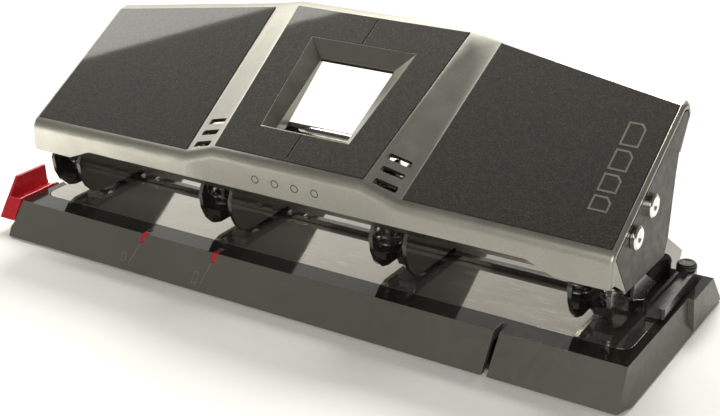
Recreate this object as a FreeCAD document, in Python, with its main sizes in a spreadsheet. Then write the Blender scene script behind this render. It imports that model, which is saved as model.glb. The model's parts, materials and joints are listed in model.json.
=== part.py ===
"""Four-hole desk punch: sheet-steel punch heads on a plastic base, under one wide handle.

Frame: X runs along the row of holes, Y runs back from the paper's side, Z is up.
The origin is on the table, under the middle of the row of holes.
Outlines are given as depth behind the base's front bottom edge and height above the skirt's
lower edge; row_y and foot_proud carry them into the frame.
"""
import FreeCAD, Part
import math
import os

import Sketcher
from FreeCAD import Placement, Rotation, Vector

DIMENSIONS = [
    ("row_y", 41.5),            # front bottom edge of the base to the row of holes
    ("foot_proud", 0.8),        # rubber feet below the skirt
    ("hole_pitch", 80.0),       # four-hole spacing of ISO 838 filing
    ("punch_r", 3.0),
    ("running_gap", 0.04),      # radial clearance of every pin in its bore
    ("base_depth", 98.3),
    ("base_half", 142.2),
    ("rim_z", 13.2),
    ("rim_half", 139.0),
    ("flare_z", 4.8),           # ridge along the base's ends
    ("flare_half", 139.8),
    ("block_y", 67.2),          # the raised end blocks begin here
    ("block_half", 141.5),
    ("deck_half", 135.5),
    ("deck_front", 19.6),
    ("deck_corner", 5.0),
    ("deck_thick", 2.0),
    ("ledge", 2.0),             # seat under the deck's edge
    ("roof_z", 9.2),            # underside of the shell's top
    ("slot_x", 90.2),           # flex slot in the front skirt
    ("slot_width", 2.2),
    ("short_mark_x", -70.6),
    ("long_mark_x", -34.2),
    ("mark_width", 2.0),
    ("floor_z", 0.2),
    ("floor_thick", 1.8),
    ("hatch_x", 84.0),          # middle of the chip hatch
    ("hatch_half", 30.0),
    ("hatch_front", 22.0),
    ("hatch_back", 76.0),
    ("hinge_z", 1.7),
    ("hinge_r", 0.8),
    ("die_r", 5.5),
    ("die_height", 3.6),
    ("plate_half", 8.0),        # outer faces of a head's two plates
    ("plate_thick", 1.6),
    ("throat_z", 16.4),         # underside of the plates over the paper
    ("seat_z", 19.4),           # top of the guide block, where the spring stands
    ("axle_r", 3.0),
    ("pivot_y", 29.6),
    ("pivot_z", 51.1),
    ("press_y", 42.8),
    ("press_z", 57.9),
    ("cheek_x", 130.4),         # outer face of the handle's side plates
    ("cheek_thick", 1.5),
    ("head_r", 4.2),
    ("head_x", 132.6),          # outer face of the axle heads
    ("stop_y", 53.5),
    ("stop_z", 15.4),
    ("tip_z", 16.9),
    ("spring_r", 4.7),
    ("spring_turns", 7.0),
    ("wire_r", 0.5),
    ("boss_x", 133.0),
    ("boss_y", 81.5),
    ("boss_r", 3.9),
    ("lock_pin_r", 2.0),
]

COLUMNS = (-1.5, -0.5, 0.5, 1.5)        # the four heads, in pitches from the middle
SKIRT_LEAN = 9.8 / 13.2                 # run over height of the long skirts
TURNS = {"Z": Rotation(), "X": Rotation(Vector(0, 1, 0), 90), "Y": Rotation(Vector(1, 0, 0), -90)}
NODES = []

doc = FreeCAD.newDocument("four_hole_punch")
sheet = doc.addObject("Spreadsheet::Sheet", "Dims")
for row, (alias, value) in enumerate(DIMENSIONS, start=1):
    sheet.set("A%d" % row, alias)
    sheet.set("B%d" % row, str(value))
    sheet.setAlias("B%d" % row, alias)
doc.recompute()


def dim(alias):
    return float(getattr(sheet, alias))


def point(x, depth, height):
    return Vector(x, depth - dim("row_y"), height + dim("foot_proud"))


def seat(thing, x=0, depth=0, height=0, turn=None):
    """Place an object with its position bound to the sheet."""
    thing.Placement = Placement(Vector(), turn or Rotation())
    thing.setExpression("Placement.Base.x", "%s" % x)
    thing.setExpression("Placement.Base.y", "(%s) - Dims.row_y" % depth)
    thing.setExpression("Placement.Base.z", "(%s) + Dims.foot_proud" % height)
    return thing


def box(name, size, corner):
    thing = doc.addObject("Part::Box", name)
    for side, value in zip(("Length", "Width", "Height"), size):
        thing.setExpression(side, "%s" % value)
    return seat(thing, *corner)


def rod(name, radius, length, start, along="Z"):
    thing = doc.addObject("Part::Cylinder", name)
    thing.setExpression("Radius", "%s" % radius)
    thing.setExpression("Height", "%s" % length)
    return seat(thing, *start, turn=TURNS[along])


def draw(sketch, corners):
    """A closed outline held by a dimension on every corner; a text value is bound to the sheet."""
    rough = []
    for corner in corners:
        rough.append([sheet.evalExpression(c) if isinstance(c, str) else c for c in corner])
    spots = [Vector(float(x), float(y), 0) for x, y in rough]
    count = len(corners)
    for i in range(count):
        sketch.addGeometry(Part.LineSegment(spots[i], spots[(i + 1) % count]))
    for i in range(count):
        sketch.addConstraint(Sketcher.Constraint("Coincident", i, 2, (i + 1) % count, 1))
    for i, corner in enumerate(corners):
        for kind, value, start in zip(("DistanceX", "DistanceY"), corner, spots[i]):
            index = sketch.addConstraint(Sketcher.Constraint(kind, -1, 1, i, 1, start))
            if isinstance(value, str):
                sketch.setExpression("Constraints[%d]" % index, value)


def outline_in(body, plane, corners):
    sketch = body.newObject("Sketcher::SketchObject", body.Name + "_outline")
    base_plane = [f for f in body.Origin.OriginFeatures if f.Role == plane + "_Plane"][0]
    sketch.AttachmentSupport = [(base_plane, "")]
    sketch.MapMode = "FlatFace"
    draw(sketch, corners)
    return sketch


def prism(name, plane, corners, length, start=0, rounded=None):
    """An outline padded along its plane's normal: YZ to +X, XY to +Z, XZ to -Y."""
    body = doc.addObject("PartDesign::Body", name)
    pad = body.newObject("PartDesign::Pad", name + "_pad")
    pad.Profile = outline_in(body, plane, corners)
    pad.setExpression("Length", "%s" % length)
    body.Tip = pad
    if rounded:
        doc.recompute()
        radius, direction = rounded
        edges = [
            "Edge%d" % i
            for i, edge in enumerate(pad.Shape.Edges, start=1)
            if abs(edge.tangentAt(edge.FirstParameter).dot(direction)) > 0.99
        ]
        rounding = body.newObject("PartDesign::Fillet", name + "_rounding")
        rounding.Base = (pad, edges)
        rounding.setExpression("Radius", "%s" % radius)
        body.Tip = rounding
    return seat(body, *{"YZ": (start, 0, 0), "XY": (0, 0, start), "XZ": (0, start, 0)}[plane])


def turned(name, corners, x, depth, height, turn=None):
    """An outline of radius and height turned about its own axis."""
    body = doc.addObject("PartDesign::Body", name)
    spin = body.newObject("PartDesign::Revolution", name + "_turn")
    sketch = outline_in(body, "XZ", corners)
    spin.Profile = sketch
    spin.ReferenceAxis = (sketch, ["V_Axis"])
    spin.Angle = 360
    body.Tip = spin
    return seat(body, x, depth, height, turn)


def fuse(name, shapes):
    thing = doc.addObject("Part::MultiFuse", name)
    thing.Shapes = shapes
    thing.Refine = True
    return thing


def cut(name, base, tools):
    thing = doc.addObject("Part::Cut", name)
    thing.Base = base
    thing.Tool = tools[0] if len(tools) == 1 else fuse(name + "_tools", tools)
    return thing


def mirror(name, source):
    thing = doc.addObject("Part::Mirroring", name)
    thing.Source = source
    thing.Normal = Vector(1, 0, 0)
    return thing


def loft(name, rings):
    """A ruled solid through closed rings of points."""
    sections = []
    for i, ring in enumerate(rings):
        wire = doc.addObject("Part::Polygon", "%s_ring_%d" % (name, i))
        wire.Nodes = [point(*spot) for spot in ring]
        wire.Close = True
        sections.append(wire)
    thing = doc.addObject("Part::Loft", name)
    thing.Sections = sections
    thing.Solid = True
    thing.Ruled = True
    return thing


def node(label, thing):
    """Mark an object as a finished sub-part."""
    thing.Label = label
    NODES.append(thing)
    return thing


def at_column(column, offset=0):
    return "%s * Dims.hole_pitch + %s" % (column, offset)


# ---------------------------------------------------------------- base


def rounded_sheet(name, half, front, low, thick):
    """A plate on the deck's footprint; its back edge mirrors its front edge."""
    back = "Dims.base_depth - (%s)" % front
    corners = [("-(%s)" % half, front), (half, front), (half, back), ("-(%s)" % half, back)]
    return prism(name, "XY", corners, thick, low, ("Dims.deck_corner", Vector(0, 0, 1)))


def sloped_block(name, inset, low, high, half):
    """The base's section between two heights: both long skirts lean inwards."""
    front = ["%s + %s * (%s)" % (inset, SKIRT_LEAN, height) for height in (low, high)]
    back = ["Dims.base_depth - (%s)" % edge for edge in front]
    corners = [(front[0], low), (back[0], low), (back[1], high), (front[1], high)]
    return prism(name, "YZ", corners, "2 * (%s)" % half, "-(%s)" % half)


def end_profile(name, foot, ridge, ridge_z, top, front, length):
    """The base's end walls: a flared foot below the ridge, nearly upright above it."""
    right = [(foot, 0), (ridge, ridge_z), (top, "Dims.rim_z")]
    left = [("-(%s)" % x, z) for x, z in reversed(right)]
    return prism(name, "XZ", right + left, length, "%s + %s" % (front, length))


def make_base_shell():
    section = sloped_block("base_section", 0, 0, "Dims.rim_z", "Dims.base_half + 1")
    ends = fuse("base_ends", [
        end_profile("front_ends", "Dims.base_half", "Dims.flare_half", "Dims.flare_z", "Dims.rim_half",
                    0, "Dims.block_y"),
        end_profile("block_ends", "Dims.base_half", "Dims.base_half - 0.1", 3.6, "Dims.block_half",
                    "Dims.block_y", "Dims.base_depth - Dims.block_y"),
    ])
    outline = doc.addObject("Part::Common", "base_outline")
    outline.Base = section
    outline.Tool = ends
    corner = prism("foot_corner", "XY", [(139.4, -1), (144, -1), (144, 12.9)], "Dims.rim_z + 2", -1)
    hollow = sloped_block("base_hollow", 2.75, -1, "Dims.roof_z", "Dims.flare_half - 2.8")
    posts = []
    pilots = []
    for i, (x, y) in enumerate(((-108, 13), (108, 13), (-108, 85.3), (108, 85.3))):
        posts.append(rod("post_%d" % i, 3, 7.4, (x, y, "Dims.floor_z + Dims.floor_thick")))
        pilots.append(rod("pilot_%d" % i, 1.3, 5, (x, y, 1.5)))
    notches = [
        box("notch_" + kind, ("Dims.mark_width + 0.2", 8, 4), (
            "Dims.%s_mark_x - Dims.mark_width / 2 - 0.1" % kind, 6.6, 10.2))
        for kind in ("short", "long")
    ]
    hollowed = cut("base_hollowed", outline, [hollow, corner, mirror("foot_corner_left", corner)])
    return node("base_shell", cut("base_cut", fuse("base_with_posts", [hollowed, *posts]), [
        rounded_sheet("deck_opening", "Dims.deck_half", "Dims.deck_front",
                      "Dims.rim_z - Dims.deck_thick", 4),
        rounded_sheet("deck_well", "Dims.deck_half - Dims.ledge", "Dims.deck_front + Dims.ledge",
                      "Dims.roof_z - 1", 4),
        box("flex_slot", ("Dims.slot_width", 18, 16), ("Dims.slot_x - Dims.slot_width / 2", -1.5, -1)),
        box("rack_window", (12, 11.4, 4), (-145, 21.3, 4.4)),
        box("lever_groove", (2.2, 18.6, 4), (135.7, 69.4, "Dims.rim_z - 3")),
        rod("lock_pin_hole", "Dims.lock_pin_r", 8, ("Dims.boss_x", "Dims.boss_y", 7)),
        *notches,
        *pilots,
    ]))


def make_deck():
    blank = rounded_sheet("deck_blank", "Dims.deck_half - 0.2", "Dims.deck_front + 0.2",
                          "Dims.rim_z - Dims.deck_thick", "Dims.deck_thick")
    holes = []
    for i, column in enumerate(COLUMNS):
        holes.append(rod("die_hole_%d" % i, "Dims.die_r", 6, (at_column(column), "Dims.row_y", 9)))
        for depth in (63, 73):
            holes.append(rod("tapped_hole_%d_%d" % (i, depth), 1.5, 6, (at_column(column), depth, 9)))
    node("deck_plate", cut("deck_cut", blank, holes))
    bore = "Dims.punch_r + Dims.running_gap"
    for i, column in enumerate(COLUMNS, start=1):
        corners = [
            (bore, 0), ("Dims.die_r - 0.6", 0), ("Dims.die_r", 0.6), ("Dims.die_r", "Dims.die_height"),
            (bore, "Dims.die_height"),
        ]
        node("die_%d" % i, turned("die_body_%d" % i, corners, at_column(column), "Dims.row_y",
                                  "Dims.rim_z - Dims.die_height"))


def make_paper_stop():
    """The rail that the sheet's edge meets, stepped beside each head."""
    rail = box("stop_rail", (255.2, 3.2, "Dims.stop_z - Dims.rim_z"), (-127.6, "Dims.stop_y", "Dims.rim_z"))
    steps = []
    for i, column in enumerate(COLUMNS):
        inward = -1 if column > 0 else 1
        for reach in (12, 20):
            x = at_column(column, inward * reach - 1.5)
            steps.append(box("step_%d_%d" % (i, reach), (3, 5, 2),
                             (x, "Dims.stop_y - 1", "Dims.stop_z - 0.9")))
    node("paper_stop", cut("stop_cut", rail, steps))


def make_markers():
    """Red inserts that lie flush in the skirt's two notches."""
    for kind in ("short", "long"):
        low = 10.3
        corners = [(SKIRT_LEAN * low, low), (SKIRT_LEAN * 13.2, 13.2), (12.2, 13.2), (12.2, low)]
        node("format_mark_" + kind, prism("mark_" + kind, "YZ", corners, "Dims.mark_width",
                                          "Dims.%s_mark_x - Dims.mark_width / 2" % kind))


def make_floor():
    """The removable floor of the chip tray, its hatch, and what holds them."""
    top = "Dims.floor_z + Dims.floor_thick"
    blank = prism("floor_blank", "XY", [(-136.6, 4.7), (136.6, 4.7), (136.6, 93.6), (-136.6, 93.6)],
                  "Dims.floor_thick", "Dims.floor_z", (3, Vector(0, 0, 1)))
    left = "Dims.hatch_x - Dims.hatch_half"
    span = "Dims.hatch_back - Dims.hatch_front"
    lugs = [
        box("lug_%d" % i, (5.2, 3.6, 3.6), ("%s - 5.6" % left, depth, "Dims.floor_z"))
        for i, depth in enumerate(("Dims.hatch_front", "Dims.hatch_back - 3.6"))
    ]
    openings = [
        box("hatch_well", ("2 * Dims.hatch_half", span, 6), (left, "Dims.hatch_front", -1)),
        box("barrel_room", (7, "%s - 7.2" % span, 6), ("%s - 6" % left, "Dims.hatch_front + 3.6", -1)),
        rod("lug_bore", "Dims.hinge_r + Dims.running_gap", 70, ("%s - 3" % left, 15, "Dims.hinge_z"), "Y"),
    ]
    screws = []
    for i, (x, y) in enumerate(((-108, 13), (108, 13), (-108, 85.3), (108, 85.3))):
        openings.append(rod("floor_hole_%d" % i, 1.6, 6, (x, y, -1)))
        openings.append(rod("floor_sink_%d" % i, 2.9, 1, (x, y, "Dims.floor_z - 0.1")))
        shank = rod("floor_screw_shank_%d" % i, 1.3, 4.9, (x, y, 1))
        screws += [shank, rod("floor_screw_head_%d" % i, 2.7, 0.85, (x, y, "Dims.floor_z"))]
    node("bottom_plate", cut("floor_cut", fuse("floor_with_lugs", [blank, *lugs]), openings))
    node("floor_screws", fuse("floor_screw_set", screws))
    feet = [(0, 41.5), (-124, 12), (124, 12), (-124, 86.3), (124, 86.3)]
    for i, (x, y) in enumerate(feet):
        high = "Dims.foot_proud + Dims.floor_z"
        corners = [(0, 0), (4.4, 0), (5, 0.6), (5, high), (0, high)]
        node("rubber_foot_%d" % i, turned("foot_%d" % i, corners, x, y, "-Dims.foot_proud"))

    door = prism("door_blank", "XY", [(54.4, 22.4), (113.6, 22.4), (113.6, 75.6), (54.4, 75.6)],
                 "Dims.floor_thick", "Dims.floor_z")
    hinge_x = "%s - 3" % left
    tongue = box("door_tongue", (4.4, "%s - 8" % span, "Dims.floor_thick"),
                 (hinge_x, "Dims.hatch_front + 4", "Dims.floor_z"))
    barrel = rod("door_barrel", 1.5, "%s - 8" % span, (hinge_x, "Dims.hatch_front + 4", "Dims.hinge_z"), "Y")
    ribs = [
        box("door_rib_%d" % i, (52, 1.2, 1.6), (58, depth, top))
        for i, depth in enumerate((34, 49, 64))
    ]
    bore = rod("door_bore", "Dims.hinge_r + Dims.running_gap", 70, (hinge_x, 15, "Dims.hinge_z"), "Y")
    grip = box("door_grip", (3, 16, 1.2), (109.4, 41, "Dims.floor_z - 0.2"))
    node("hatch_door", cut("door_cut", fuse("door_fused", [door, tongue, barrel, *ribs]), [bore, grip]))
    node("hatch_pin", rod("hatch_pin_rod", "Dims.hinge_r", span,
                          (hinge_x, "Dims.hatch_front", "Dims.hinge_z"), "Y"))


# ---------------------------------------------------------------- punch heads

PLATE = [
    (18.5, 32.5), (19.3, 26.4), (21.8, 21.3), (25.4, 17.7), (30, 16.4), (57.5, 16.4), (57.5, 13.2),
    (86, 13.2), (90, 21), (71, 34), (48.9, 48.2), (39.3, 48.2), (39.3, 56.4), (31.5, 56.4), (27.5, 55.6),
    (24.5, 52), (22, 40),
]
WEB = [(89.6, 20.2), (71, 33), (70.1, 31.7), (88.7, 18.9)]


def make_bracket(i, column):
    """A head's frame: two plates joined by a foot and a rear web, slotted for the press axle."""
    inner = "2 * (Dims.plate_half - Dims.plate_thick)"
    start = at_column(column, "Dims.plate_thick - Dims.plate_half")
    parts = [
        prism("plate_a_%d" % i, "YZ", PLATE, "Dims.plate_thick", at_column(column, "-Dims.plate_half")),
        prism("plate_b_%d" % i, "YZ", PLATE, "Dims.plate_thick",
              at_column(column, "Dims.plate_half - Dims.plate_thick")),
        box("foot_%d" % (i + 10), (inner, 28, 1.6), (start, 57.6, "Dims.rim_z")),
        prism("web_%d" % i, "YZ", WEB, inner, start),
    ]
    holes = [rod("axle_hole_%d" % i, "Dims.axle_r + Dims.running_gap", 20,
                 (at_column(column, -10), "Dims.pivot_y", "Dims.pivot_z"), "X")]
    screws = []
    for depth in (63, 73):
        x = at_column(column)
        holes.append(rod("foot_hole_%d_%d" % (i, depth), 1.6, 4, (x, depth, 12)))
        screws.append(rod("shank_%d_%d" % (i, depth), 1.45, 5.2, (x, depth, 10.2)))
        screws.append(turned("screw_head_%d_%d" % (i, depth), [(0, 0), (3, 0), (3, 1), (2.2, 2), (0, 2)],
                             x, depth, "Dims.rim_z + 1.6"))
    node("bracket_%d" % i, cut("bracket_cut_%d" % i, fuse("bracket_fused_%d" % i, parts), holes))
    node("bracket_screws_%d" % i, fuse("screw_pair_%d" % i, screws))


def make_guide_block(i, column):
    """The block that leads the pin just above the sheet."""
    x = column * dim("hole_pitch")
    half = dim("plate_half") - dim("plate_thick")
    corners = [
        (x - 3.6, 33), (x + 3.6, 33), (x + half, 36.2), (x + half, 52), (x - half, 52), (x - half, 36.2),
    ]
    block = prism("guide_blank_%d" % i, "XY", corners, "Dims.seat_z - Dims.throat_z", "Dims.throat_z")
    bore = rod("guide_bore_%d" % i, "Dims.punch_r + Dims.running_gap", 6,
               (at_column(column), "Dims.row_y", 15))
    node("guide_block_%d" % i, cut("guide_cut_%d" % i, block, [bore]))


def make_punch(i, column):
    """A hollow-ground pin with its head, spring collar and return spring."""
    x = at_column(column)
    neck = 52.5 - dim("tip_z")
    corners = [
        (0, 1.1), (3, 0), (3, neck), (4.5, neck), (4.5, neck + 1.7), (4.1, neck + 2.1), (0, neck + 2.1),
    ]
    node("punch_pin_%d" % i, turned("pin_body_%d" % i, corners, x, "Dims.row_y", "Dims.tip_z"))
    bore = dim("punch_r")
    collar = [(bore, 0), (5.0, 0), (5.4, 0.4), (5.4, 1.9), (bore, 1.9)]
    node("spring_collar_%d" % i, turned("collar_body_%d" % i, collar, x, "Dims.row_y", 50.6))
    low = "Dims.seat_z + 0.1 + Dims.wire_r"
    coil = doc.addObject("Part::Helix", "coil_%d" % i)
    coil.SegmentLength = 1
    coil.setExpression("Radius", "Dims.spring_r")
    coil.setExpression("Height", "50.5 - Dims.seat_z - 0.2 - 2 * Dims.wire_r")
    coil.setExpression("Pitch", "(50.5 - Dims.seat_z - 0.2 - 2 * Dims.wire_r) / Dims.spring_turns")
    seat(coil, x, "Dims.row_y", low)
    wire = doc.addObject("Part::Circle", "wire_%d" % i)
    wire.setExpression("Radius", "Dims.wire_r")
    seat(wire, x + " + Dims.spring_r", "Dims.row_y", low, TURNS["Y"])
    spring = doc.addObject("Part::Sweep", "spring_sweep_%d" % i)
    spring.Sections = [wire]
    spring.Spine = (coil, ["Edge%d" % (turn + 1) for turn in range(round(dim("spring_turns")))])
    spring.Solid = True
    spring.Frenet = True
    node("return_spring_%d" % i, spring)


def make_axle(label, depth, height, shoulder):
    """A rod through both side plates, closed by a dimpled head at each end."""
    left_face = "-(%s)" % shoulder
    shaft = rod(label + "_shaft", "Dims.axle_r", "2 * (%s)" % shoulder, (left_face, depth, height), "X")
    thick = "Dims.head_x - (%s)" % shoulder
    dimple = thick + " - 0.9"
    profile = [
        (0, 0), ("Dims.head_r", 0), ("Dims.head_r", thick + " - 0.5"), ("Dims.head_r - 0.6", thick),
        (1.7, thick), (0.5, dimple), (0, dimple),
    ]
    heads = [
        turned(label + "_head_right", profile, shoulder, depth, height, TURNS["X"]),
        turned(label + "_head_left", profile, left_face, depth, height, Rotation(Vector(0, 1, 0), -90)),
    ]
    node(label, fuse(label + "_fused", [shaft, *heads]))


# ---------------------------------------------------------------- handle

# Corners of the handle's top as (x, depth, height): where each fold meets the front and rear edges.
INNER_FOLD = ((33.8, 10.0, 56.4), (40.7, 83.5, 97.4))
OUTER_FOLD = ((48.2, 11.5, 51.3), (52.4, 85.0, 94.7))
HANDLE_END = ((130.3, 12.1, 50.3), (130.3, 73.0, 86.38))
PANEL_INSET = 0.2                       # the panels' edges inside the flat of the top


def wing_station(x):
    """Front and rear corner of the wing's section at x."""
    corners = []
    for near, far in zip(OUTER_FOLD, HANDLE_END):
        part = (x - near[0]) / (far[0] - near[0])
        corners.append((x, near[1] + part * (far[1] - near[1]), near[2] + part * (far[2] - near[2])))
    return tuple(corners)


def fold_x(station, depth):
    front, rear = station
    return front[0] + (rear[0] - front[0]) * (depth - front[1]) / (rear[1] - front[1])


def top_line(station):
    """Where the section's flat top starts and ends."""
    front, rear = station
    return (front[1] + 2.56, front[2] + 1.56), (rear[1] - 2.2, rear[2] - 1.34)


def shell_ring(station, low_lip, tuck=0.0):
    """The shell's section: under the lip, up the brow, over the top, down the back, then inside.

    tuck draws the outer skin in by that share of the wall, which rounds the shell's ends.
    """
    (_, yf, zf), (_, yr, zr) = station
    start, end = top_line(station)
    brow = []
    for part in (0, 1 / 3, 2 / 3):
        weights = ((1 - part) ** 2, 2 * part * (1 - part), part ** 2)
        brow.append([
            sum(w * c[k] for w, c in zip(weights, ((yf - 0.1, zf - 3), (yf, zf), start)))
            for k in (0, 1)
        ])
    profile = [(18.2, 37.6), (11.6, 38.4) if low_lip else (11.4, 42.8)]
    profile += brow + [
        start, end, (yr + 2.2, zr - 0.6), (yr + 5.2, zr - 3.0), (yr + 6.2, zr - 6.1), (yr - 1.5, zr - 18.6),
        (yr - 3.4, zr - 18.2), (yr + 4.1, zr - 6.3), (yr + 2.4, zr - 3.6), (yr - 1.2, zr - 3.1),
        (yf + 3.0, zf - 0.5), (yf + 1.9, zf - 2.8), (13.4, 40.6 if low_lip else 43.6), (19.4, 38.9),
    ]
    for outer, inner in zip(range(11), (18, 17, 16, 16, 15, 15, 14, 13, 13, 12, 11)):
        profile[outer] = [
            (1 - tuck) * skin + tuck * lining for skin, lining in zip(profile[outer], profile[inner])
        ]
    return [(fold_x(station, y), y, z) for y, z in profile]


def flip(ring):
    return [(-x, y, z) for x, y, z in ring]


def panel_ring(station, aside, front, rear, low, high):
    """Four corners of a thin panel's section, measured from the shell's top line."""
    (y0, z0), (y1, z1) = top_line(station)
    length = math.hypot(y1 - y0, z1 - z0)
    along = ((y1 - y0) / length, (z1 - z0) / length)
    ring = []
    for travel, lift in ((front, low), (length - rear, low), (length - rear, high), (front, high)):
        y = y0 + along[0] * travel - along[1] * lift
        z = z0 + along[1] * travel + along[0] * lift
        ring.append((fold_x(station, y) + aside, y, z))
    return ring


def wing_rings(gap, low, high):
    """A wing panel's sections, grown by gap on all four edges."""
    inset = PANEL_INSET - gap
    rings = [panel_ring(OUTER_FOLD, 0.6 - gap, inset, inset, low, high)]
    for x in (99, 110, 128.7 + gap):
        rings.append(panel_ring(wing_station(x), 0, inset, inset, low, high))
    return rings


def centre_rings(gap, low, high):
    inset = PANEL_INSET - gap
    right = panel_ring(INNER_FOLD, gap - 0.5, inset, inset, low, high)
    return [flip(right), right]


def window_ring(half_front, front, half_rear, rear, sink, rear_sink=None):
    """A quadrilateral on the centre panel, sunk below it; the rear edge may have its own depth."""
    (y0, z0), (y1, z1) = top_line(INNER_FOLD)
    slope = (z1 - z0) / (y1 - y0)
    tilt = math.atan(slope)
    ring = []
    back = sink if rear_sink is None else rear_sink
    corners = ((-half_front, front, sink), (half_front, front, sink), (half_rear, rear, back),
               (-half_rear, rear, back))
    for x, depth, drop in corners:
        height = z0 + slope * (depth - y0)
        ring.append((x, depth + drop * math.sin(tilt), height - drop * math.cos(tilt)))
    return ring


def window_cutter(name, gap):
    mouth = (20.3 + gap, 24.5 - gap, 24.4 + gap, 67.6 + gap)
    return loft(name, [window_ring(*mouth, -2), window_ring(*mouth, 14)])


VENT_LEAN = (0.49, -0.872)              # square through the slanted strip between the folds


def vent_outline(depth, width):
    """A vent's section, cut square through the strip between the folds."""
    outline = []
    for y, reach in ((depth, -6), (depth + width, -6), (depth + width, 7), (depth, 7)):
        height = 55.6 + 0.565 * (y - 13.3)
        outline.append((y + VENT_LEAN[0] * reach, height + VENT_LEAN[1] * reach))
    return outline


CHEEK = [(12, 41), (12.4, 38.2), (17.5, 36.6), (25.6, 31.2), (26.3, 31.3), (15, 47.8), (13, 47)]
SIDE_PLATE = [
    (15.2, 47.8), (26.45, 31.4), (62.1, 30.6), (64.9, 36.4), (67.5, 57.8), (69.4, 68.4), (76.5, 79.9),
    (74.9, 82.4), (71.3, 82.6), (15.3, 49.1),
]
CATCH = [(34, 31.1), (34, 25.2), (45, 20.4), (56.5, 22.4), (44.5, 30.9)]
VENTS = ((13.9, 2.4), (19.2, 2.2), (24.2, 2.4))


def make_handle_shell():
    right = [
        shell_ring(INNER_FOLD, False),
        shell_ring(OUTER_FOLD, False),
        shell_ring(wing_station(99), False),
        shell_ring(wing_station(110), True),
        shell_ring(wing_station(129.2), True),
        shell_ring(wing_station(130), True, 0.15),
        shell_ring(wing_station(130.4), True, 0.45),
    ]
    skin = loft("shell_skin", [flip(ring) for ring in reversed(right)] + right)
    cheek = prism("cheek_right", "YZ", CHEEK, 1.8, 128.5)
    body = fuse("shell_fused", [skin, cheek, mirror("cheek_left", cheek)])
    wing_seat = loft("wing_seat", wing_rings(0.1, -0.5, 3))
    cutters = [
        wing_seat,
        mirror("wing_seat_left", wing_seat),
        loft("centre_seat", centre_rings(0.1, -0.5, 3)),
        window_cutter("window_gap", 0.1),
    ]
    for side in (-45.9, 37.1):
        for i, (depth, width) in enumerate(VENTS):
            cutters.append(prism("vent_%d_%d" % (side, i), "YZ", vent_outline(depth, width), 8.8, side,
                                 (0.7, Vector(0, VENT_LEAN[0], VENT_LEAN[1]))))
    node("handle_shell", cut("shell_cut", body, cutters))


def make_panels():
    wing = loft("wing_skin", wing_rings(0, -0.5, 0.3))
    node("wing_right", wing)
    node("wing_left", mirror("wing_skin_left", wing))
    line = loft("centre_line", [
        [(x, depth, height) for _, depth, height in panel_ring(INNER_FOLD, 0, 1.2, 1.2, 0, 3)]
        for x in (-1.0, -0.5)
    ])
    node("centre_panel", cut("centre_cut", loft("centre_skin", centre_rings(0, -0.5, 0.3)), [
        window_cutter("panel_gap", 0.1), line]))


def make_window():
    """The moulded frame of the handle's window: a wide bevel and a short tunnel."""
    outer = loft("liner_outer", [
        window_ring(20.3, 24.5, 24.4, 67.6, -0.3),
        window_ring(20.3, 24.5, 24.4, 67.6, 0.8),
        window_ring(17.2, 25.6, 18.1, 62.2, 4.6),
        window_ring(17.2, 25.6, 18.1, 62.2, 9, 5.0),
    ])
    inner = loft("liner_inner", [
        window_ring(19.9, 24.9, 24.0, 67.2, -1.3),
        window_ring(19.9, 24.9, 24.0, 67.2, -0.3),
        window_ring(16, 27, 16.9, 61, 3.4),
        window_ring(16, 27, 16.9, 61, 12),
    ])
    node("window_liner", cut("liner_cut", outer, [inner]))


def make_side_plates():
    """The handle's end plates turn on the pivot axle and carry the press axle."""
    blank = prism("side_blank", "YZ", SIDE_PLATE, "Dims.cheek_thick", "Dims.cheek_x - Dims.cheek_thick")
    pivot_bore = rod("pivot_bore", "Dims.axle_r + Dims.running_gap", 8,
                     (126, "Dims.pivot_y", "Dims.pivot_z"), "X")
    press_bore = rod("press_bore", "Dims.axle_r", 8, (126, "Dims.press_y", "Dims.press_z"), "X")
    plate = cut("side_cut", blank, [pivot_bore, press_bore])
    node("side_plate_right", plate)
    node("side_plate_left", mirror("side_cut_left", plate))
    node("lock_catch", prism("catch_plate", "YZ", CATCH, "Dims.cheek_thick",
                             "Dims.cheek_x - Dims.cheek_thick - 0.1"))


# ---------------------------------------------------------------- paper guide and lock


def make_guide():
    block = prism("fence_block", "YZ", [(4.1, 5.5), (9.8, 13.2), (33, 13.2), (33, 5.5)], 8.1, -148.3)
    upright = prism("fence_upright", "YZ", [(4.1, 5.5), (15.6, 20.8), (32.3, 20.5), (32.8, 8)], 1.5, -148.3)
    rail = rod("fence_rail", 0.6, 20, (-140.8, 10, 13.2), "Y")
    channel = box("fence_channel", (5.2, 30, 4), (-146.8, 11, 11.5))
    node("guide_fence", fuse("fence_fused", [cut("fence_channelled", block, [channel]), upright, rail]))
    bar = box("rack_bar", (120.2, 10, 3), (-140.2, 22, 5))
    teeth = [box("rack_gap_%d" % i, (2, 10.4, 1.2), (-132 + 6 * i, 21.8, 7.2)) for i in range(18)]
    node("guide_rack", cut("rack_cut", bar, teeth))


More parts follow.
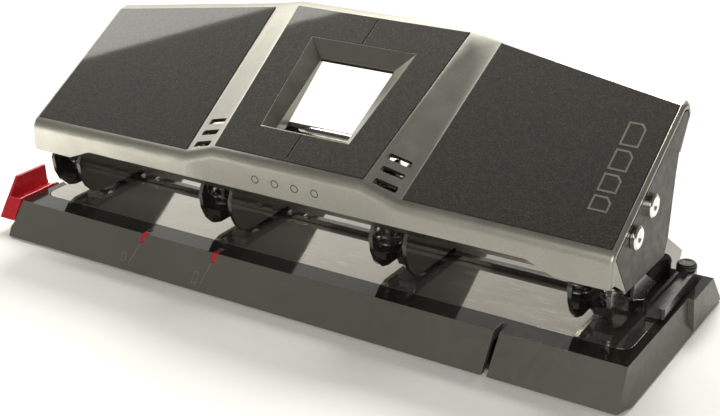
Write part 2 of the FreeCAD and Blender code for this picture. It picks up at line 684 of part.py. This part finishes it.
def make_lock():
    """The lever that swings its tip over the pressed catch, and the pin it turns on."""
    boss = rod("lever_boss", "Dims.boss_r", 5.3, ("Dims.boss_x", "Dims.boss_y", 14.2))
    arm = prism("lever_arm", "XY", [
        (130.7, 45.6), (131.4, 44.9), (137.2, 44.9), (138.0, 45.8), (136.9, 81), (135.2, 83), (130.7, 82),
    ], 4.2, 14.2)
    trough = prism("lever_trough", "XY", [
        (131.9, 46.4), (136.7, 46.4), (135.7, 76.8), (131.9, 76.8)], 4, 16.9)
    bore = rod("lever_bore", "Dims.lock_pin_r + Dims.running_gap", 12, ("Dims.boss_x", "Dims.boss_y", 12))
    hollowed = cut("lever_hollowed", arm, [trough])
    node("lock_lever", cut("lever_cut", fuse("lever_fused", [hollowed, boss]), [bore]))
    shank = rod("lock_pin_shank", "Dims.lock_pin_r", 12.3, ("Dims.boss_x", "Dims.boss_y", 7.5))
    dished = [(0, 0), (3.6, 0), (3.6, 0.5), (3.2, 0.9), (2.5, 0.9), (2.2, 0.6), (0, 0.6)]
    cap = turned("lock_pin_cap", dished, "Dims.boss_x", "Dims.boss_y", 19.8)
    node("lock_pivot", fuse("lock_pin_fused", [shank, cap]))


make_base_shell()
make_deck()
make_paper_stop()
make_markers()
make_floor()
for number, column in enumerate(COLUMNS, start=1):
    make_bracket(number, column)
    make_guide_block(number, column)
    make_punch(number, column)
make_axle("pivot_axle", "Dims.pivot_y", "Dims.pivot_z", "Dims.cheek_x + 0.3")
make_axle("press_axle", "Dims.press_y", "Dims.press_z", "Dims.cheek_x")
make_handle_shell()
make_panels()
make_window()
make_side_plates()
make_guide()
make_lock()
doc.recompute()

problems = []
for thing in doc.Objects:
    if "Invalid" in thing.State or "Error" in thing.State:
        problems.append("%s: %s" % (thing.Name, thing.State))
    if thing.TypeId == "Part::Cut" and thing.Shape.Volume > thing.Base.Shape.Volume - 0.05:
        problems.append("%s: nothing was cut" % thing.Name)
for thing in NODES:
    if thing.Shape.isNull() or not thing.Shape.isValid() or not thing.Shape.Solids:
        problems.append("%s: bad solid" % thing.Label)
if problems:
    raise SystemExit("\n".join(problems))

os.makedirs("parts", exist_ok=True)
for thing in NODES:
    thing.Shape.exportStep(os.path.join("parts", thing.Label + ".step"))
print("%d nodes written" % len(NODES))
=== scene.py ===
"""Looks of the four-hole desk punch: materials, softened edges, printed marks, light and camera.

Lengths are metres in the row frame unless a name ends in _MM.
"""
import json
import math

import bpy
from mathutils import Matrix, Vector
from mathutils.bvhtree import BVHTree


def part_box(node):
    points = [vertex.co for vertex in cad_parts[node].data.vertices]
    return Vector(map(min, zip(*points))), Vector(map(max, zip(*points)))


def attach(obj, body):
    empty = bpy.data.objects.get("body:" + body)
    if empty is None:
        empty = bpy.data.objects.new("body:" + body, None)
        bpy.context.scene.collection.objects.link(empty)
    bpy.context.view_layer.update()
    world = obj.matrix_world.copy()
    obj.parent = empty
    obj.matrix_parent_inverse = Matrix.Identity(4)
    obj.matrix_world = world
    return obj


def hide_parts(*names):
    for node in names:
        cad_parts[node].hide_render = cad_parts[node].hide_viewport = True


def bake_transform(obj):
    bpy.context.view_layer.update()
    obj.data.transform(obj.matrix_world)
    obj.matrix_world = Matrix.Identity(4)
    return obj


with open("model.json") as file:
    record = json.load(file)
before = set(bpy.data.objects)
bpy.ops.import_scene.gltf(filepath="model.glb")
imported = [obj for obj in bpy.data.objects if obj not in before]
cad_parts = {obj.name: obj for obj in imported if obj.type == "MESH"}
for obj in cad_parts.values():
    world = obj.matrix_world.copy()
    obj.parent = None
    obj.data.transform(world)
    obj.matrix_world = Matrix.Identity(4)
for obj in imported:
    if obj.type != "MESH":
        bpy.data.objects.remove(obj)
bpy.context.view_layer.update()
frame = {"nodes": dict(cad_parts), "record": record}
NODES = frame["nodes"]
BODY_OF = {node: body for body, nodes in frame["record"]["behaviour"]["bodies"].items() for node in nodes}
SLOT_OF = {part["node"]: part["material_slot"] for part in frame["record"]["subparts"]}


HEADS = range(1, 5)
WIRE_MM = 0.5                           # radius of the springs' wire
FLAKE_MM = 0.34                         # grain of the speckled paint
FLOOR_HALF = 3.0


def mm(*values):
    """Millimetres in metres: one number, or a tuple of several."""
    scaled = tuple(value / 1000 for value in values)
    return scaled[0] if len(scaled) == 1 else scaled


# ---------------------------------------------------------------- materials


def map_range(tree, value, start, end, low, high):
    """A node that carries start..end over to low..high; it is returned whole."""
    node = tree.nodes.new("ShaderNodeMapRange")
    for socket, number in (("From Min", start), ("From Max", end), ("To Min", low), ("To Max", high)):
        node.inputs[socket].default_value = number
    tree.links.new(value, node.inputs["Value"])
    return node


class Finish:
    """A procedural material: noises in object space drive colour, roughness and bump."""

    def __init__(self, name, metallic=0.0, coat=0.0, coat_roughness=0.1, specular=0.5):
        self.material = bpy.data.materials.new(name)
        self.material.use_nodes = True
        self.tree = self.material.node_tree
        self.tree.nodes.clear()
        self.shader = self.add("ShaderNodeBsdfPrincipled")
        output = self.add("ShaderNodeOutputMaterial")
        self.link(self.shader.outputs["BSDF"], output.inputs["Surface"])
        self.shader.inputs["Metallic"].default_value = metallic
        self.shader.inputs["Coat Weight"].default_value = coat
        self.shader.inputs["Coat Roughness"].default_value = coat_roughness
        self.shader.inputs["Specular IOR Level"].default_value = specular
        where = self.add("ShaderNodeTexCoord")
        self.place = where.outputs["Object"]
        self.facing = where.outputs["Normal"]

    def add(self, kind):
        return self.tree.nodes.new(kind)

    def link(self, source, target):
        self.tree.links.new(source, target)

    def noise(self, size, detail=3.0, stretch=(1, 1, 1)):
        """Soft variation whose features are about size millimetres across."""
        mapping = self.add("ShaderNodeMapping")
        mapping.inputs["Scale"].default_value = stretch
        self.link(self.place, mapping.inputs["Vector"])
        texture = self.add("ShaderNodeTexNoise")
        texture.inputs["Scale"].default_value = 1000 / size
        texture.inputs["Detail"].default_value = detail
        self.link(mapping.outputs["Vector"], texture.inputs["Vector"])
        return texture.outputs["Fac"]

    def flakes(self, size):
        """A random value per cell of about size millimetres."""
        texture = self.add("ShaderNodeTexVoronoi")
        texture.inputs["Scale"].default_value = 1000 / size
        self.link(self.place, texture.inputs["Vector"])
        split = self.add("ShaderNodeSeparateColor")
        self.link(texture.outputs["Color"], split.inputs["Color"])
        return split.outputs["Red"]

    def between(self, value, low, high, start=0.3, end=0.7):
        """Map a noise's middle stretch onto low..high."""
        return map_range(self.tree, value, start, end, low, high).outputs["Result"]

    def mixed(self, share, first, second):
        """Blend two colours; either may be the output of an earlier blend."""
        node = self.add("ShaderNodeMix")
        node.data_type = "RGBA"
        self.link(share, node.inputs["Factor"])
        for colour, socket in ((first, node.inputs[6]), (second, node.inputs[7])):
            if isinstance(colour, tuple):
                socket.default_value = (*colour, 1)
            else:
                self.link(colour, socket)
        return node.outputs[2]

    def colour(self, value):
        self.link(value, self.shader.inputs["Base Color"])
        return self

    def roughness(self, value):
        self.link(value, self.shader.inputs["Roughness"])
        return self

    def bumps(self, *layers):
        """Each layer is (height value, depth in millimetres)."""
        normal = None
        for height, depth in layers:
            node = self.add("ShaderNodeBump")
            node.inputs["Strength"].default_value = 1.0
            node.inputs["Distance"].default_value = mm(depth)
            self.link(height, node.inputs["Height"])
            if normal:
                self.link(normal, node.inputs["Normal"])
            normal = node.outputs["Normal"]
        self.link(normal, self.shader.inputs["Normal"])
        return self

    def tilt(self, start, end):
        """Zero where the surface's normal has less than start of up in it, one above end."""
        split = self.add("ShaderNodeSeparateXYZ")
        self.link(self.facing, split.inputs["Vector"])
        return self.between(split.outputs["Z"], 0, 1, start, end)

    def blend(self, share, first, second):
        """Blend two numbers that are outputs of earlier nodes."""
        node = self.add("ShaderNodeMix")
        self.link(share, node.inputs["Factor"])
        self.link(first, node.inputs[2])
        self.link(second, node.inputs[3])
        return node.outputs[0]


def panel_finish():
    """Dark metallic paint full of fine light flakes, under a clear lacquer."""
    f = Finish("panel_dark", metallic=0.3, coat=0.75, coat_roughness=0.03, specular=0.3)
    flakes = f.between(f.flakes(FLAKE_MM), 0, 1, 0.45, 1.0)
    fine = f.between(f.noise(0.3, 2), 0, 1, 0.35, 0.7)
    ground = f.mixed(fine, (0.0055, 0.0046, 0.0032), (0.0105, 0.0088, 0.0062))
    f.colour(f.mixed(flakes, ground, (0.040, 0.035, 0.026)))
    f.roughness(f.between(f.noise(0.5, 2), 0.42, 0.60))
    return f.bumps((f.noise(0.45, 2), 0.012))


def silver_finish(name, light, dark, rough):
    """Satin silver paint with a faint mottle; faces that look downward get a dark speckled colour as
    painted shade, standing for undersides that lie in shadow.
    """
    f = Finish(name, metallic=0.85)
    mottle = f.between(f.noise(18, 4), 0, 1)
    grain = f.between(f.noise(0.9, 2), 0, 1)
    outside = f.mixed(grain, f.mixed(mottle, light, dark), tuple(0.96 * c for c in dark))
    flakes = f.between(f.flakes(FLAKE_MM), 0, 1, 0.5, 1.0)
    # Painted shade: a dark speckled colour for faces that look downward, where the undersides lie in
    # shadow.
    underside_shade = f.mixed(flakes, (0.045, 0.042, 0.034), (0.130, 0.122, 0.100))
    # Share of the silver paint: zero on faces that look downward, which take the painted shade instead.
    unshaded_share = f.tilt(-0.35, -0.15)
    f.colour(f.mixed(unshaded_share, underside_shade, outside))
    satin = f.between(f.noise(6, 4), rough - 0.02, rough + 0.03)
    f.roughness(f.blend(unshaded_share, f.between(f.noise(6, 4), 0.50, 0.60), satin))
    return f.bumps((f.noise(1.5, 3), 0.0006), (f.noise(14, 2), 0.001))


def plastic_finish(name, light, dark, rough, grain=0.5, depth=0.012, specular=0.5):
    """Moulded plastic: slow shade drift, spark-eroded grain, scattered rubbed spots."""
    f = Finish(name, specular=specular)
    drift = f.between(f.noise(35, 3), 0, 1)
    rubbed = f.between(f.noise(2.2, 6), 0, 1, 0.6, 0.75)
    f.colour(f.mixed(rubbed, f.mixed(drift, light, dark), tuple(min(1, 1.18 * c) for c in light)))
    f.roughness(f.between(f.noise(3.5, 5), rough - 0.07, rough + 0.09))
    return f.bumps((f.noise(grain, 2), depth), (f.noise(14, 2), 0.02))


def base_finish():
    """Grained grey plastic whose level rim is polished."""
    f = Finish("base_plastic", specular=0.5)
    top = f.tilt(0.9, 0.98)
    drift = f.between(f.noise(35, 3), 0, 1)
    grained = f.mixed(drift, (0.098, 0.093, 0.079), (0.084, 0.080, 0.068))
    polished = f.mixed(drift, (0.020, 0.019, 0.016), (0.015, 0.014, 0.012))
    f.colour(f.mixed(top, grained, polished))
    dull = f.between(f.noise(3.5, 5), 0.30, 0.44)
    glossy = f.between(f.noise(3.5, 5), 0.05, 0.10)
    f.roughness(f.blend(top, dull, glossy))
    return f.bumps((f.noise(0.5, 2), 0.004), (f.noise(14, 2), 0.012))


def lacquer_finish(name, light, dark, rough, metallic=0.9):
    """Glossy tinted plating, almost a mirror, with slight waviness and hairline scuffs."""
    f = Finish(name, metallic=metallic, coat=0.35, coat_roughness=0.05)
    cloud = f.between(f.noise(25, 3), 0, 1)
    scuffs = f.between(f.noise(0.6, 3, (0.05, 1, 1)), 0, 1, 0.62, 0.8)
    f.colour(f.mixed(scuffs, f.mixed(cloud, light, dark), tuple(min(1, 1.5 * c) for c in light)))
    f.roughness(f.between(f.noise(1.2, 5, (0.15, 1, 1)), rough, rough + 0.08))
    return f.bumps((f.noise(30, 1), 0.03), (f.noise(0.4, 3, (0.06, 1, 1)), 0.0006))


def steel_finish(name, light, dark, rough, stretch):
    """Bare steel with drawn or ground marks along one direction."""
    f = Finish(name, metallic=1.0)
    marks = f.between(f.noise(0.18, 4, stretch), 0, 1)
    stain = f.between(f.noise(5, 4), 0, 1, 0.5, 0.8)
    f.colour(f.mixed(stain, f.mixed(marks, light, dark), tuple(0.7 * c for c in dark)))
    f.roughness(f.between(f.noise(0.2, 4, stretch), rough - 0.05, rough + 0.1))
    return f.bumps((f.noise(0.15, 3, stretch), 0.002))


def floor_finish():
    """The pale studio floor."""
    f = Finish("studio_floor", specular=0.2)
    f.colour(f.mixed(f.between(f.noise(400, 2), 0, 1), (0.86, 0.86, 0.85), (0.88, 0.88, 0.87)))
    f.roughness(f.between(f.noise(90, 3), 0.55, 0.65))
    return f.bumps((f.noise(3, 2), 0.01))


FINISHES = {
    "panel_dark": panel_finish(),
    "shell_silver": silver_finish("shell_silver", (0.36, 0.35, 0.315), (0.335, 0.325, 0.29), 0.38),
    "liner_metal": silver_finish("liner_metal", (0.30, 0.29, 0.255), (0.27, 0.26, 0.23), 0.33),
    "base_plastic": base_finish(),
    "floor_plastic": plastic_finish("floor_plastic", (0.030, 0.030, 0.028), (0.022, 0.022, 0.021), 0.5),
    "red_plastic": plastic_finish(
        "red_plastic", (0.50, 0.016, 0.026), (0.40, 0.011, 0.020), 0.22, 0.8, 0.004),
    "block_black": plastic_finish("block_black", (0.018, 0.018, 0.017), (0.012, 0.012, 0.012), 0.3),
    "foot_rubber": plastic_finish(
        "foot_rubber", (0.020, 0.020, 0.019), (0.014, 0.014, 0.013), 0.75, 0.3, 0.03, 0.3),
    "deck_steel": lacquer_finish("deck_steel", (0.46, 0.44, 0.395), (0.42, 0.40, 0.36), 0.03),
    "bracket_steel": lacquer_finish("bracket_steel", (0.16, 0.155, 0.14), (0.12, 0.116, 0.105), 0.06),
    "stop_steel": lacquer_finish("stop_steel", (0.10, 0.098, 0.088), (0.075, 0.073, 0.066), 0.10),
    "side_dark": plastic_finish(
        "side_dark", (0.046, 0.042, 0.034), (0.038, 0.035, 0.028), 0.38, 0.5, 0.003, 0.25),
    "catch_dark": lacquer_finish("catch_dark", (0.040, 0.040, 0.036), (0.030, 0.030, 0.027), 0.2, 0.5),
    "lever_black": lacquer_finish(
        "lever_black", (0.034, 0.033, 0.030), (0.022, 0.022, 0.020), 0.18, 0.5),
    "axle_chrome": steel_finish(
        "axle_chrome", (0.90, 0.90, 0.88), (0.82, 0.82, 0.80), 0.10, (0.04, 1, 1)),
    "die_steel": steel_finish("die_steel", (0.56, 0.56, 0.54), (0.47, 0.47, 0.46), 0.24, (1, 1, 0.05)),
    "screw_steel": steel_finish("screw_steel", (0.50, 0.50, 0.48), (0.42, 0.42, 0.41), 0.28, (1, 1, 1)),
    "spring_steel": steel_finish(
        "spring_steel", (0.86, 0.86, 0.84), (0.76, 0.76, 0.74), 0.14, (1, 1, 0.3)),
}


def add_object(name, data):
    thing = bpy.data.objects.new(name, data)
    bpy.context.scene.collection.objects.link(thing)
    return thing


def paint(thing, slot):
    """Put a finish on every material slot of an object."""
    material = FINISHES[slot].material
    if not thing.material_slots:
        thing.data.materials.append(material)
    for material_slot in thing.material_slots:
        material_slot.material = material


# ---------------------------------------------------------------- CAD parts

SOFT_EDGE_MM = {
    "base_shell": 0.35, "deck_plate": 0.2, "paper_stop": 0.25,
    "bottom_plate": 0.25, "hatch_door": 0.25, "format_mark_short": 0.12, "format_mark_long": 0.12,
    "handle_shell": 0.4, "window_liner": 0.3, "centre_panel": 0.15, "wing_left": 0.15, "wing_right": 0.15,
    "side_plate_left": 0.3, "side_plate_right": 0.3, "lock_catch": 0.25, "lock_lever": 0.3,
    "guide_fence": 0.3, "guide_rack": 0.2,
}
for head in HEADS:
    SOFT_EDGE_MM["bracket_%d" % head] = 0.3
    SOFT_EDGE_MM["guide_block_%d" % head] = 0.3


def soften(thing, width_mm):
    """Round a part's sharp edges a little, so that they catch the light."""
    weld = thing.modifiers.new("join_seams", "WELD")
    weld.merge_threshold = mm(0.004)
    flat = thing.modifiers.new("merge_flats", "DECIMATE")
    flat.decimate_type = "DISSOLVE"
    flat.angle_limit = math.radians(0.6)
    edge = thing.modifiers.new("soft_edges", "BEVEL")
    edge.width = mm(width_mm)
    edge.segments = 2
    edge.limit_method = "ANGLE"
    edge.angle_limit = math.radians(28)
    normals = thing.modifiers.new("even_shading", "WEIGHTED_NORMAL")
    normals.keep_sharp = True
    for face in thing.data.polygons:
        face.use_smooth = True


for label, part in NODES.items():
    paint(part, SLOT_OF[label])
    if label in SOFT_EDGE_MM:
        soften(part, SOFT_EDGE_MM[label])


# ---------------------------------------------------------------- return springs


def stands_at(turn, turns, rise, wire):
    """Height of the wire's middle: one closed turn at each end, even turns between."""
    closed = 2.1 * wire
    if turn < 1:
        return closed * turn
    if turn > turns - 1:
        return rise - closed * (turns - turn)
    return closed + (rise - 2 * closed) * (turn - 1) / (turns - 2)


def coil_spring(number):
    """A coiled spring with closed ends, built in the box of its CAD part, which it hides."""
    label = "return_spring_%d" % number
    low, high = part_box(label)
    wire = mm(WIRE_MM)
    radius = (high.x - low.x) / 2 - wire
    middle = (low + high) / 2
    turns, steps, sides = 9, 32, 8
    corners = []
    for i in range(turns * steps + 1):
        angle = 2 * math.pi * i / steps
        height = low.z + wire + stands_at(i / steps, turns, high.z - low.z - 2 * wire, wire)
        for k in range(sides):
            around = 2 * math.pi * k / sides
            reach = radius + wire * math.cos(around)
            corners.append((
                middle.x + reach * math.cos(angle),
                middle.y + reach * math.sin(angle),
                height + wire * math.sin(around),
            ))
    faces = [tuple(range(sides)), tuple(range(len(corners) - 1, len(corners) - sides - 1, -1))]
    for i in range(turns * steps):
        for k in range(sides):
            a = i * sides + k
            b = i * sides + (k + 1) % sides
            faces.append((a, a + sides, b + sides, b))
    mesh = bpy.data.meshes.new(label + "_wire")
    mesh.from_pydata(corners, [], faces)
    mesh.validate()
    for face in mesh.polygons:
        face.use_smooth = True
    thing = add_object(label + "_wire", mesh)
    paint(thing, "spring_steel")
    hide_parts(label)
    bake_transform(thing)


for head in HEADS:
    coil_spring(head)

# ---------------------------------------------------------------- printed marks


def tree_of(label):
    return BVHTree.FromPolygons(
        [vertex.co for vertex in NODES[label].data.vertices],
        [tuple(face.vertices) for face in NODES[label].data.polygons],
    )


def ribbon(name, label, slot, path, width, closed=False, from_front=False):
    """A printed line laid on a CAD part: path is (x, y) from above, or (x, z) from the front."""
    tree = tree_of(label)
    count = len(path)
    edges = []
    for i, spot in enumerate(path):
        here = Vector(spot)
        before = Vector(path[i - 1]) if closed or i else None
        after = Vector(path[(i + 1) % count]) if closed or i + 1 < count else None
        into = (here - before).normalized() if before else (after - here).normalized()
        out = (after - here).normalized() if after else into
        mean = (into + out).normalized()
        aside = Vector((-mean.y, mean.x)) * (width / 2 / max(0.3, mean.dot(into)))
        edges.append((here + aside, here - aside))
    corners = []
    for pair in edges:
        for spot in pair:
            far = Vector((spot.x, -1, spot.y)) if from_front else Vector((spot.x, spot.y, 1))
            toward = Vector((0, 1, 0)) if from_front else Vector((0, 0, -1))
            hit, normal, _, _ = tree.ray_cast(far, toward)
            corners.append(hit + normal * mm(0.04))
            corners.append(hit - normal * mm(0.05))
    faces = []
    for i in range(count if closed else count - 1):
        a = 4 * i
        b = 4 * ((i + 1) % count)
        faces += [
            (a, a + 2, b + 2, b), (a + 1, b + 1, b + 3, a + 3),
            (a, b, b + 1, a + 1), (a + 2, a + 3, b + 3, b + 2),
        ]
    if not closed:
        last = 4 * (count - 1)
        faces += [(0, 1, 3, 2), (last, last + 2, last + 3, last + 1)]
    mesh = bpy.data.meshes.new(name)
    mesh.from_pydata(corners, [], faces)
    mesh.validate()
    thing = add_object(name, mesh)
    paint(thing, slot)
    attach(thing, BODY_OF[label])


def page(centre, width, height):
    """The outline of a sheet with a cut corner."""
    w, h, fold = width / 2, height / 2, 0.28 * width
    outline = [(-w, -h), (w, -h), (w, h - fold), (w - fold, h), (-w, h)]
    return [(centre[0] + x, centre[1] + y) for x, y in outline]


def ring(centre, radius, count=20):
    """Points evenly round a circle."""
    spots = []
    for i in range(count):
        angle = 2 * math.pi * i / count
        spots.append((centre[0] + radius * math.cos(angle), centre[1] + radius * math.sin(angle)))
    return spots


def format_marks():
    """A leader line and a small page outline under each red insert."""
    for kind, drift, high in (("short", -3.0, 1.5), ("long", -2.3, 2.2)):
        low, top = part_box("format_mark_" + kind)
        x = (low.x + top.x) / 2
        start = (x - mm(0.3), low.z - mm(0.6))
        end = (x + mm(drift), start[1] - mm(7.2))
        ribbon("leader_" + kind, "base_shell", "shell_silver", [start, end], mm(0.3), from_front=True)
        centre = (end[0] - mm(3.2), end[1] + mm(1.6))
        ribbon("page_icon_" + kind, "base_shell", "shell_silver", page(centre, mm(2.2), mm(high * 1.6)),
               mm(0.22), True, True)


def hole_marks():
    """Four small rings in a row on the lip, for the four holes."""
    for i in range(4):
        outline = ring(mm(-13.5 + 9 * i, 49.6), mm(1.5))
        ribbon("hole_mark_%d" % (i + 1), "handle_shell", "stop_steel", outline, mm(0.45), True, True)


def sheet_marks():
    """Sheet outlines of growing size in a row along the right wing's end."""
    depth = -15.0
    for i, size in enumerate((5.0, 6.2, 7.4, 8.8)):
        outline = page(mm(118, depth + size / 2), mm(6.4), mm(size))
        ribbon("sheet_mark_%d" % (i + 1), "wing_right", "liner_metal", outline, mm(0.7), True)
        depth += size + 2.2


format_marks()
hole_marks()
sheet_marks()

# ---------------------------------------------------------------- studio


def studio_floor():
    mesh = bpy.data.meshes.new("studio_floor")
    half = FLOOR_HALF
    corners = [(-half, -half, 0), (half, -half, 0), (half, half, 0), (-half, half, 0)]
    mesh.from_pydata(corners, [], [(0, 1, 2, 3)])
    thing = add_object("studio_floor", mesh)
    thing.data.materials.append(floor_finish().material)


def softbox(name, place, size, power, turn=None, spread=180):
    """A rectangular light: level and turned about the vertical, or facing the punch."""
    light = bpy.data.lights.new(name, "AREA")
    light.shape = "RECTANGLE"
    light.size, light.size_y = size
    light.energy = power
    light.color = (1.0, 0.98, 0.91)
    light.spread = math.radians(spread)
    thing = add_object(name, light)
    thing.location = place
    if turn is None:
        thing.rotation_euler = (Vector(mm(0, 0, 40)) - Vector(place)).to_track_quat("-Z", "Y").to_euler()
    else:
        thing.rotation_euler = (0, 0, math.radians(turn))


def world_light():
    """A room that is bright along the horizon, most of all at the back left, and dim overhead."""
    world = bpy.data.worlds.new("studio_world")
    bpy.context.scene.world = world
    world.use_nodes = True
    tree = world.node_tree
    split = tree.nodes.new("ShaderNodeSeparateXYZ")
    tree.links.new(tree.nodes.new("ShaderNodeTexCoord").outputs["Generated"], split.inputs["Vector"])
    shares = []
    for axis, start, end, low, high in (
        ("Z", 0.25, 0.75, 1.0, 0.12), ("Y", -0.5, 0.5, 0.35, 1.0), ("X", -0.75, 0.1, 1.35, 0.22),
    ):
        ramp = map_range(tree, split.outputs[axis], start, end, low, high)
        ramp.interpolation_type = "SMOOTHSTEP"
        shares.append(ramp.outputs["Result"])
    product = shares[0]
    for share in shares[1:]:
        step = tree.nodes.new("ShaderNodeMath")
        step.operation = "MULTIPLY"
        tree.links.new(product, step.inputs[0])
        tree.links.new(share, step.inputs[1])
        product = step.outputs["Value"]
    background = tree.nodes["Background"]
    background.inputs["Color"].default_value = (1.0, 0.98, 0.92, 1)
    tree.links.new(product, background.inputs["Strength"])


def camera():
    """A 68 mm view from the front right, a little above."""
    yaw, pitch, roll = (math.radians(angle) for angle in (32.45, 23.62, -0.81))
    back = Vector((math.sin(yaw) * math.cos(pitch), -math.cos(yaw) * math.cos(pitch), math.sin(pitch)))
    right = Vector((0, 0, 1)).cross(back).normalized()
    up = back.cross(right)
    turned_right = math.cos(roll) * right + math.sin(roll) * up
    turned_up = -math.sin(roll) * right + math.cos(roll) * up
    data = bpy.data.cameras.new("photo_camera")
    data.lens = 68.1
    data.sensor_width = 36
    data.sensor_fit = "HORIZONTAL"
    data.clip_start = 0.01
    thing = add_object("photo_camera", data)
    place = Matrix((turned_right, turned_up, back)).transposed().to_4x4()
    place.translation = mm(275.7, -411.9, 245.7)
    thing.matrix_world = place
    bpy.context.scene.camera = thing


studio_floor()
world_light()
softbox("overhead_left", (-1.147, 0.583, 1.2), (1.4, 0.8), 19, turn=20.0)
softbox("back", (-0.2, 1.5, 1.5), (1.0, 0.8), 46)
softbox("left_pool", (-0.36, -0.20, 0.30), (0.12, 0.12), 1.5, turn=0, spread=70)
softbox("front_fill", (0.5, -1.3, 0.8), (1.2, 0.8), 16)
camera()
bpy.context.scene.view_settings.view_transform = "Standard"
